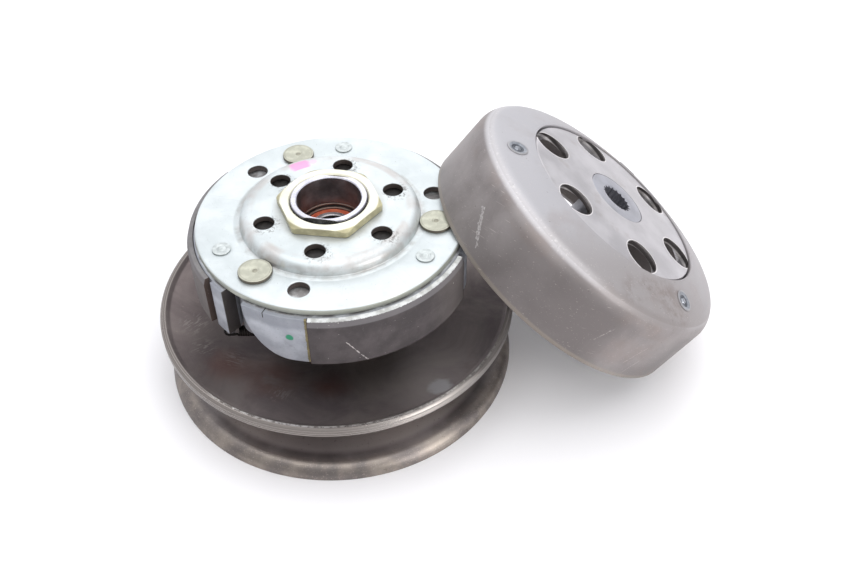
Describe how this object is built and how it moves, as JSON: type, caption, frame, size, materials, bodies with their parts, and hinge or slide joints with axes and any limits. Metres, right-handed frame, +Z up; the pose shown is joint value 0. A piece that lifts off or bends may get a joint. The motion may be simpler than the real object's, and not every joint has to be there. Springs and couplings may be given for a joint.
{
  "type": "cvt pulley set",
  "caption": "Driven pulley of a variable belt drive with a sprung sliding sheave and centrifugal clutch, its clutch bell lifted off and leaning on it.",
  "frame": {"origin": "centre of the bottom of the bounding box, on the plane the pulley and the bell stand on", "axes": "+Z up along the pulley's axis, +X from the pulley towards the leaning bell, +Y away from the viewer"},
  "size_m": [0.2603, 0.165, 0.1107],
  "materials": {
    "sheave_steel": "dark belt-polished steel with a bright worn rim",
    "bright_steel": "ground steel",
    "dark_steel": "oiled dark steel",
    "black_rubber": "moulded rubber",
    "orange_seal": "orange rubber seal with a thin film of grease",
    "black_plastic": "moulded nylon",
    "zinc_plate": "bluish-white zinc plating with scratches and stains",
    "rivet_steel": "dull beige-grey rivet heads",
    "yellow_zinc": "pale yellow zinc plating",
    "shoe_aluminium": "die-cast aluminium",
    "friction_lining": "dark grey moulded friction lining",
    "bell_steel": "warm grey pressed steel with fine scratches",
    "bell_plate_steel": "grey pressed steel with bright hole edges",
    "bell_hub_steel": "blue-grey machined steel"
  },
  "bodies": {
    "hub": {"fixed_face": "sheave_steel", "driven_hub": "bright_steel", "drive_plate": "zinc_plate", "clutch_nut": "yellow_zinc", "pivot_pin_1": "rivet_steel", "pivot_pin_2": "rivet_steel", "pivot_pin_3": "rivet_steel", "pivot_clip_1": "dark_steel", "pivot_clip_2": "dark_steel", "pivot_clip_3": "dark_steel", "damper_pin_1": "zinc_plate", "damper_pin_2": "zinc_plate", "damper_pin_3": "zinc_plate", "damper_rubber_1": "black_rubber", "damper_rubber_2": "black_rubber", "damper_rubber_3": "black_rubber", "guide_pin_1": "bright_steel", "guide_pin_2": "bright_steel", "guide_pin_3": "bright_steel", "upper_spring_seat": "black_plastic", "torque_spring": "dark_steel", "bearing_outer_ring": "bright_steel", "bearing_seal_top": "orange_seal", "bearing_seal_bottom": "orange_seal", "bearing_circlip": "bright_steel", "needle_shell": "bright_steel"},
    "spring_base": {"lower_spring_seat": "black_plastic"},
    "sliding_face": {"movable_face": "sheave_steel", "cam_sleeve": "dark_steel", "seal_collar": "dark_steel", "o_ring_1": "black_rubber", "o_ring_2": "black_rubber", "oil_seal_lower": "black_rubber", "oil_seal_upper": "black_rubber"},
    "clutch_shoe_1": {"shoe_1": "shoe_aluminium", "lining_1": "friction_lining", "return_spring_1": "dark_steel"},
    "clutch_shoe_2": {"shoe_2": "shoe_aluminium", "lining_2": "friction_lining", "return_spring_2": "dark_steel"},
    "clutch_shoe_3": {"shoe_3": "shoe_aluminium", "lining_3": "friction_lining", "return_spring_3": "dark_steel"},
    "inner_ring": {"bearing_inner_ring": "bright_steel"},
    "ball_set": {"bearing_ball_cage": "bright_steel"},
    "needle_set": {"needle_cage": "bright_steel"},
    "bell": {"bell_skirt": "bell_steel", "bell_shoulder": "bell_steel", "bell_centre": "bell_plate_steel", "bell_hub": "bell_hub_steel", "bell_rivet_1": "bell_steel", "bell_rivet_2": "bell_steel", "bell_rivet_3": "bell_steel"}
  },
  "joints": [
    {"name": "face_slide", "type": "slide", "parent": "hub", "child": "spring_base", "axis": [0, 0, 1], "range_m": [0, 0.013], "stiffness_N_per_m": 2000, "springref_m": -0.01, "deforming": ["torque_spring"]},
    {"name": "face_twist", "type": "hinge", "parent": "spring_base", "child": "sliding_face", "pos_m": [-0.04758, 0, 0.025], "axis": [0, 0, 1], "range_deg": [0, 38.1]},
    {"name": "shoe_swing_1", "type": "hinge", "parent": "hub", "child": "clutch_shoe_1", "pos_m": [-0.08055, -0.03308, 0.065], "axis": [0, 0, -1], "range_deg": [0, 4.6], "stiffness_Nm_per_rad": 2, "springref_deg": -5.73, "deforming": ["return_spring_1"]},
    {"name": "shoe_swing_2", "type": "hinge", "parent": "hub", "child": "clutch_shoe_2", "pos_m": [-0.00245, -0.01201, 0.065], "axis": [0, 0, -1], "range_deg": [0, 4.6], "stiffness_Nm_per_rad": 2, "springref_deg": -5.73, "deforming": ["return_spring_2"]},
    {"name": "shoe_swing_3", "type": "hinge", "parent": "hub", "child": "clutch_shoe_3", "pos_m": [-0.05975, 0.04509, 0.065], "axis": [0, 0, -1], "range_deg": [0, 4.6], "stiffness_Nm_per_rad": 2, "springref_deg": -5.73, "deforming": ["return_spring_3"]},
    {"name": "inner_ring_turn", "type": "hinge", "parent": "hub", "child": "inner_ring", "pos_m": [-0.04758, 0, 0.0721], "axis": [0, 0, 1], "continuous": true},
    {"name": "ball_set_turn", "type": "hinge", "parent": "hub", "child": "ball_set", "pos_m": [-0.04758, 0, 0.0721], "axis": [0, 0, 1], "continuous": true},
    {"name": "needle_set_turn", "type": "hinge", "parent": "hub", "child": "needle_set", "pos_m": [-0.04758, 0, 0.012], "axis": [0, 0, 1], "continuous": true},
    {"name": "bell_lift", "type": "slide", "parent": "hub", "child": "bell", "axis": [0.6101, 0, 0.7923], "range_m": [0, 0.15]}
  ],
  "couplings": [
    {"joint": "face_twist", "follows": "face_slide", "rad_per_m": 51.017},
    {"joint": "ball_set_turn", "follows": "inner_ring_turn", "ratio": 0.4144}
  ]
}
